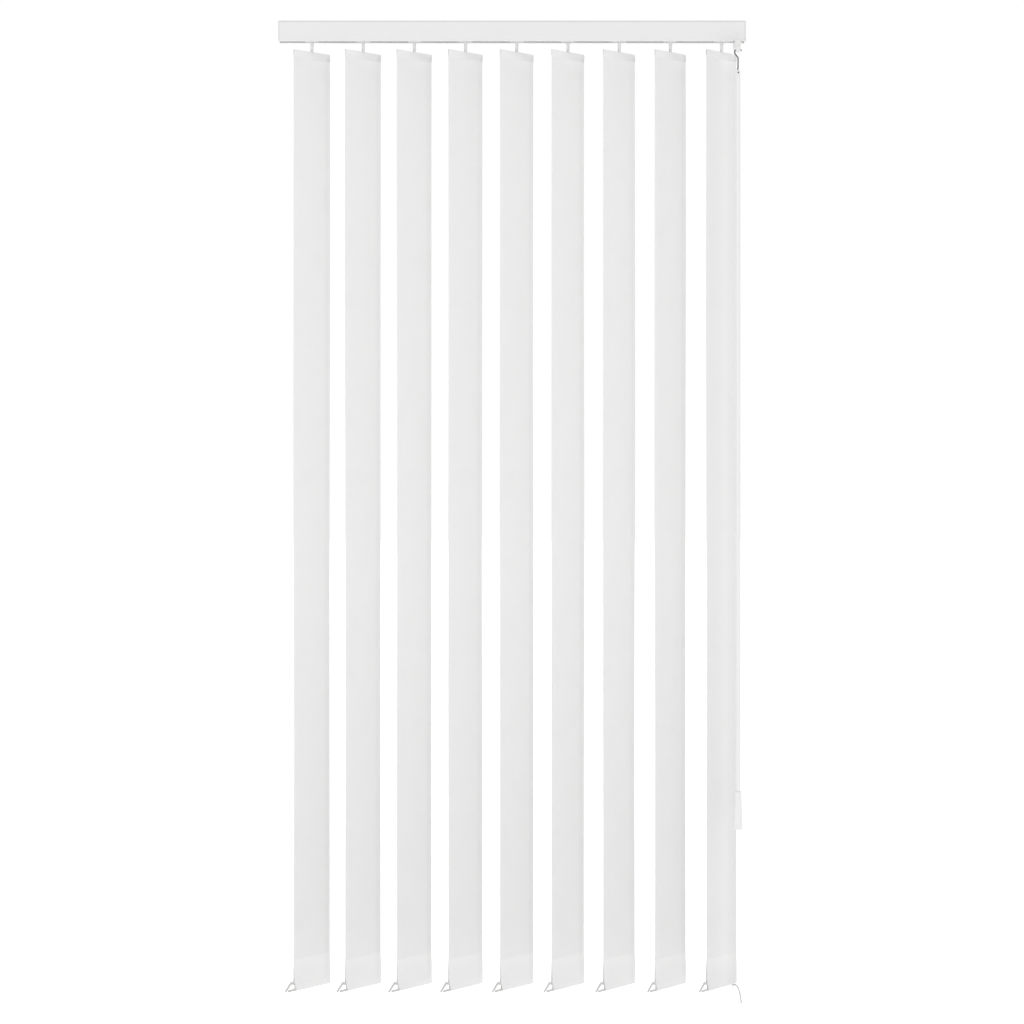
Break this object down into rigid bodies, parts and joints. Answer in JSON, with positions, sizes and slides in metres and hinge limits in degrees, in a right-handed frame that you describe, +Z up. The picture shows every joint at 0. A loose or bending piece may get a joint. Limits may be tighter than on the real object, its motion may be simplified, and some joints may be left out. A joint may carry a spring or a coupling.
{
  "type": "vertical blind",
  "caption": "Ceiling-hung head rail with fabric vanes that draw to the left and turn together, worked by one hanging wand.",
  "frame": {"origin": "on the ceiling plane, midway between the two ceiling clips' screw holes and above the middle of the rail", "axes": "+Z up, +X along the rail towards the wand, -Y towards the room"},
  "size_m": [1.2, 0.1444, 2.5373],
  "materials": {
    "rail_paint": "matt white powder coat on an aluminium extrusion",
    "white_plastic": "white moulded plastic",
    "gear_plastic": "natural acetal",
    "cloth": "fine plain weave, stiffened, off-white",
    "clear_plastic": "white plastic hanger and weight",
    "steel": "zinc-plated sheet",
    "rod_metal": "drawn hexagonal bar",
    "belt_rubber": "drive belt",
    "hook_metal": "bent steel wire",
    "wand_plastic": "satin white rod",
    "bead_plastic": "white bead chain"
  },
  "bodies": {
    "root": {"head_rail": "rail_paint", "end_caps": "white_plastic", "ceiling_clips": "steel"},
    "lead": {"carrier_9": "white_plastic", "lead_housing": "white_plastic", "wand_arm": "white_plastic", "arm_cover": "white_plastic", "drive_belt": "belt_rubber"},
    "carrier_body_1": {"carrier_1": "white_plastic"},
    "carrier_body_2": {"carrier_2": "white_plastic"},
    "carrier_body_3": {"carrier_3": "white_plastic"},
    "carrier_body_4": {"carrier_4": "white_plastic"},
    "carrier_body_5": {"carrier_5": "white_plastic"},
    "carrier_body_6": {"carrier_6": "white_plastic"},
    "carrier_body_7": {"carrier_7": "white_plastic"},
    "carrier_body_8": {"carrier_8": "white_plastic"},
    "vane_body_1": {"stem_1": "gear_plastic", "vane_1": "cloth", "fittings_1": "clear_plastic"},
    "worm_body_1": {"worm_1": "gear_plastic"},
    "vane_body_2": {"stem_2": "gear_plastic", "vane_2": "cloth", "fittings_2": "clear_plastic"},
    "worm_body_2": {"worm_2": "gear_plastic"},
    "vane_body_3": {"stem_3": "gear_plastic", "vane_3": "cloth", "fittings_3": "clear_plastic"},
    "worm_body_3": {"worm_3": "gear_plastic"},
    "vane_body_4": {"stem_4": "gear_plastic", "vane_4": "cloth", "fittings_4": "clear_plastic"},
    "worm_body_4": {"worm_4": "gear_plastic"},
    "vane_body_5": {"stem_5": "gear_plastic", "vane_5": "cloth", "fittings_5": "clear_plastic"},
    "worm_body_5": {"worm_5": "gear_plastic"},
    "vane_body_6": {"stem_6": "gear_plastic", "vane_6": "cloth", "fittings_6": "clear_plastic"},
    "worm_body_6": {"worm_6": "gear_plastic"},
    "vane_body_7": {"stem_7": "gear_plastic", "vane_7": "cloth", "fittings_7": "clear_plastic"},
    "worm_body_7": {"worm_7": "gear_plastic"},
    "vane_body_8": {"stem_8": "gear_plastic", "vane_8": "cloth", "fittings_8": "clear_plastic"},
    "worm_body_8": {"worm_8": "gear_plastic"},
    "vane_body_9": {"stem_9": "gear_plastic", "vane_9": "cloth", "fittings_9": "clear_plastic", "chain_tail": "bead_plastic"},
    "worm_body_9": {"worm_9": "gear_plastic"},
    "rod_body": {"tilt_rod": "rod_metal"},
    "rod_gear_body": {"rod_gear": "gear_plastic"},
    "riser_body": {"riser": "gear_plastic"},
    "stub_body": {"tilt_stub": "white_plastic"},
    "hook_body": {"wand_hook": "hook_metal"},
    "wand_body": {"wand": "wand_plastic", "wand_grip": "wand_plastic"}
  },
  "joints": [
    {"name": "traverse", "type": "slide", "parent": "root", "child": "lead", "axis": [1, 0, 0], "range_m": [-0.8132, 0]},
    {"name": "carrier_slide_1", "type": "slide", "parent": "root", "child": "carrier_body_1", "axis": [1, 0, 0], "range_m": [-0.0641, 0.0005]},
    {"name": "carrier_slide_2", "type": "slide", "parent": "root", "child": "carrier_body_2", "axis": [1, 0, 0], "range_m": [-0.1578, 0.0005]},
    {"name": "carrier_slide_3", "type": "slide", "parent": "root", "child": "carrier_body_3", "axis": [1, 0, 0], "range_m": [-0.2515, 0.0005]},
    {"name": "carrier_slide_4", "type": "slide", "parent": "root", "child": "carrier_body_4", "axis": [1, 0, 0], "range_m": [-0.3452, 0.0005]},
    {"name": "carrier_slide_5", "type": "slide", "parent": "root", "child": "carrier_body_5", "axis": [1, 0, 0], "range_m": [-0.4389, 0.0005]},
    {"name": "carrier_slide_6", "type": "slide", "parent": "root", "child": "carrier_body_6", "axis": [1, 0, 0], "range_m": [-0.5326, 0.0005]},
    {"name": "carrier_slide_7", "type": "slide", "parent": "root", "child": "carrier_body_7", "axis": [1, 0, 0], "range_m": [-0.6263, 0.0005]},
    {"name": "carrier_slide_8", "type": "slide", "parent": "root", "child": "carrier_body_8", "axis": [1, 0, 0], "range_m": [-0.72, 0.0005]},
    {"name": "vane_tilt_9", "type": "hinge", "parent": "lead", "child": "vane_body_9", "pos_m": [0.5392, 0, 0], "axis": [0, 0, 1], "range_deg": [-42, 126]},
    {"name": "vane_tilt_1", "type": "hinge", "parent": "carrier_body_1", "child": "vane_body_1", "pos_m": [-0.5144, 0, 0], "axis": [0, 0, 1], "range_deg": [-43, 127]},
    {"name": "vane_tilt_2", "type": "hinge", "parent": "carrier_body_2", "child": "vane_body_2", "pos_m": [-0.3827, 0, 0], "axis": [0, 0, 1], "range_deg": [-43, 127]},
    {"name": "vane_tilt_3", "type": "hinge", "parent": "carrier_body_3", "child": "vane_body_3", "pos_m": [-0.251, 0, 0], "axis": [0, 0, 1], "range_deg": [-43, 127]},
    {"name": "vane_tilt_4", "type": "hinge", "parent": "carrier_body_4", "child": "vane_body_4", "pos_m": [-0.1193, 0, 0], "axis": [0, 0, 1], "range_deg": [-43, 127]},
    {"name": "vane_tilt_5", "type": "hinge", "parent": "carrier_body_5", "child": "vane_body_5", "pos_m": [0.0124, 0, 0], "axis": [0, 0, 1], "range_deg": [-43, 127]},
    {"name": "vane_tilt_6", "type": "hinge", "parent": "carrier_body_6", "child": "vane_body_6", "pos_m": [0.1441, 0, 0], "axis": [0, 0, 1], "range_deg": [-43, 127]},
    {"name": "vane_tilt_7", "type": "hinge", "parent": "carrier_body_7", "child": "vane_body_7", "pos_m": [0.2758, 0, 0], "axis": [0, 0, 1], "range_deg": [-43, 127]},
    {"name": "vane_tilt_8", "type": "hinge", "parent": "carrier_body_8", "child": "vane_body_8", "pos_m": [0.4075, 0, 0], "axis": [0, 0, 1], "range_deg": [-43, 127]},
    {"name": "worm_spin_1", "type": "hinge", "parent": "carrier_body_1", "child": "worm_body_1", "pos_m": [-0.5144, 0.01171, -0.028], "axis": [1, 0, 0], "range_deg": [-253, 757]},
    {"name": "worm_spin_2", "type": "hinge", "parent": "carrier_body_2", "child": "worm_body_2", "pos_m": [-0.3827, 0.01171, -0.028], "axis": [1, 0, 0], "range_deg": [-253, 757]},
    {"name": "worm_spin_3", "type": "hinge", "parent": "carrier_body_3", "child": "worm_body_3", "pos_m": [-0.251, 0.01171, -0.028], "axis": [1, 0, 0], "range_deg": [-253, 757]},
    {"name": "worm_spin_4", "type": "hinge", "parent": "carrier_body_4", "child": "worm_body_4", "pos_m": [-0.1193, 0.01171, -0.028], "axis": [1, 0, 0], "range_deg": [-253, 757]},
    {"name": "worm_spin_5", "type": "hinge", "parent": "carrier_body_5", "child": "worm_body_5", "pos_m": [0.0124, 0.01171, -0.028], "axis": [1, 0, 0], "range_deg": [-253, 757]},
    {"name": "worm_spin_6", "type": "hinge", "parent": "carrier_body_6", "child": "worm_body_6", "pos_m": [0.1441, 0.01171, -0.028], "axis": [1, 0, 0], "range_deg": [-253, 757]},
    {"name": "worm_spin_7", "type": "hinge", "parent": "carrier_body_7", "child": "worm_body_7", "pos_m": [0.2758, 0.01171, -0.028], "axis": [1, 0, 0], "range_deg": [-253, 757]},
    {"name": "worm_spin_8", "type": "hinge", "parent": "carrier_body_8", "child": "worm_body_8", "pos_m": [0.4075, 0.01171, -0.028], "axis": [1, 0, 0], "range_deg": [-253, 757]},
    {"name": "worm_spin_9", "type": "hinge", "parent": "lead", "child": "worm_body_9", "pos_m": [0.5392, 0.01171, -0.028], "axis": [1, 0, 0], "range_deg": [-253, 757]},
    {"name": "rod_spin", "type": "hinge", "parent": "root", "child": "rod_body", "pos_m": [0, 0.01171, -0.028], "axis": [1, 0, 0], "range_deg": [-253, 757]},
    {"name": "rod_gear_spin", "type": "hinge", "parent": "lead", "child": "rod_gear_body", "pos_m": [0.575, 0.01171, -0.028], "axis": [1, 0, 0], "range_deg": [-253, 757]},
    {"name": "riser_spin", "type": "hinge", "parent": "lead", "child": "riser_body", "pos_m": [0.575, 0, -0.028], "axis": [0, 0, 1], "range_deg": [-361, 1081]},
    {"name": "wand_spin", "type": "hinge", "parent": "lead", "child": "stub_body", "pos_m": [0.575, -0.0683, -0.066], "axis": [0, 0, 1], "range_deg": [-361, 1081]},
    {"name": "hook_swing", "type": "hinge", "parent": "stub_body", "child": "hook_body", "pos_m": [0.575, -0.0683, -0.084], "axis": [-1, 0, 0], "range_deg": [0, 60]},
    {"name": "wand_swing", "type": "hinge", "parent": "hook_body", "child": "wand_body", "pos_m": [0.575, -0.0683, -0.1415], "axis": [0, -1, 0], "range_deg": [0, 60]}
  ],
  "couplings": [
    {"joint": "carrier_slide_1", "follows": "traverse", "ratio": 0.07821},
    {"joint": "carrier_slide_2", "follows": "traverse", "ratio": 0.19343},
    {"joint": "carrier_slide_3", "follows": "traverse", "ratio": 0.30866},
    {"joint": "carrier_slide_4", "follows": "traverse", "ratio": 0.42388},
    {"joint": "carrier_slide_5", "follows": "traverse", "ratio": 0.5391},
    {"joint": "carrier_slide_6", "follows": "traverse", "ratio": 0.65433},
    {"joint": "carrier_slide_7", "follows": "traverse", "ratio": 0.76955},
    {"joint": "carrier_slide_8", "follows": "traverse", "ratio": 0.88478},
    {"joint": "vane_tilt_1", "follows": "vane_tilt_9", "ratio": 1},
    {"joint": "vane_tilt_2", "follows": "vane_tilt_9", "ratio": 1},
    {"joint": "vane_tilt_3", "follows": "vane_tilt_9", "ratio": 1},
    {"joint": "vane_tilt_4", "follows": "vane_tilt_9", "ratio": 1},
    {"joint": "vane_tilt_5", "follows": "vane_tilt_9", "ratio": 1},
    {"joint": "vane_tilt_6", "follows": "vane_tilt_9", "ratio": 1},
    {"joint": "vane_tilt_7", "follows": "vane_tilt_9", "ratio": 1},
    {"joint": "vane_tilt_8", "follows": "vane_tilt_9", "ratio": 1},
    {"joint": "worm_spin_1", "follows": "vane_tilt_9", "ratio": 6},
    {"joint": "worm_spin_2", "follows": "vane_tilt_9", "ratio": 6},
    {"joint": "worm_spin_3", "follows": "vane_tilt_9", "ratio": 6},
    {"joint": "worm_spin_4", "follows": "vane_tilt_9", "ratio": 6},
    {"joint": "worm_spin_5", "follows": "vane_tilt_9", "ratio": 6},
    {"joint": "worm_spin_6", "follows": "vane_tilt_9", "ratio": 6},
    {"joint": "worm_spin_7", "follows": "vane_tilt_9", "ratio": 6},
    {"joint": "worm_spin_8", "follows": "vane_tilt_9", "ratio": 6},
    {"joint": "worm_spin_9", "follows": "vane_tilt_9", "ratio": 6},
    {"joint": "rod_spin", "follows": "vane_tilt_9", "ratio": 6},
    {"joint": "rod_gear_spin", "follows": "vane_tilt_9", "ratio": 6},
    {"joint": "riser_spin", "follows": "vane_tilt_9", "ratio": 8.5714},
    {"joint": "wand_spin", "follows": "vane_tilt_9", "ratio": 8.5714}
  ]
}
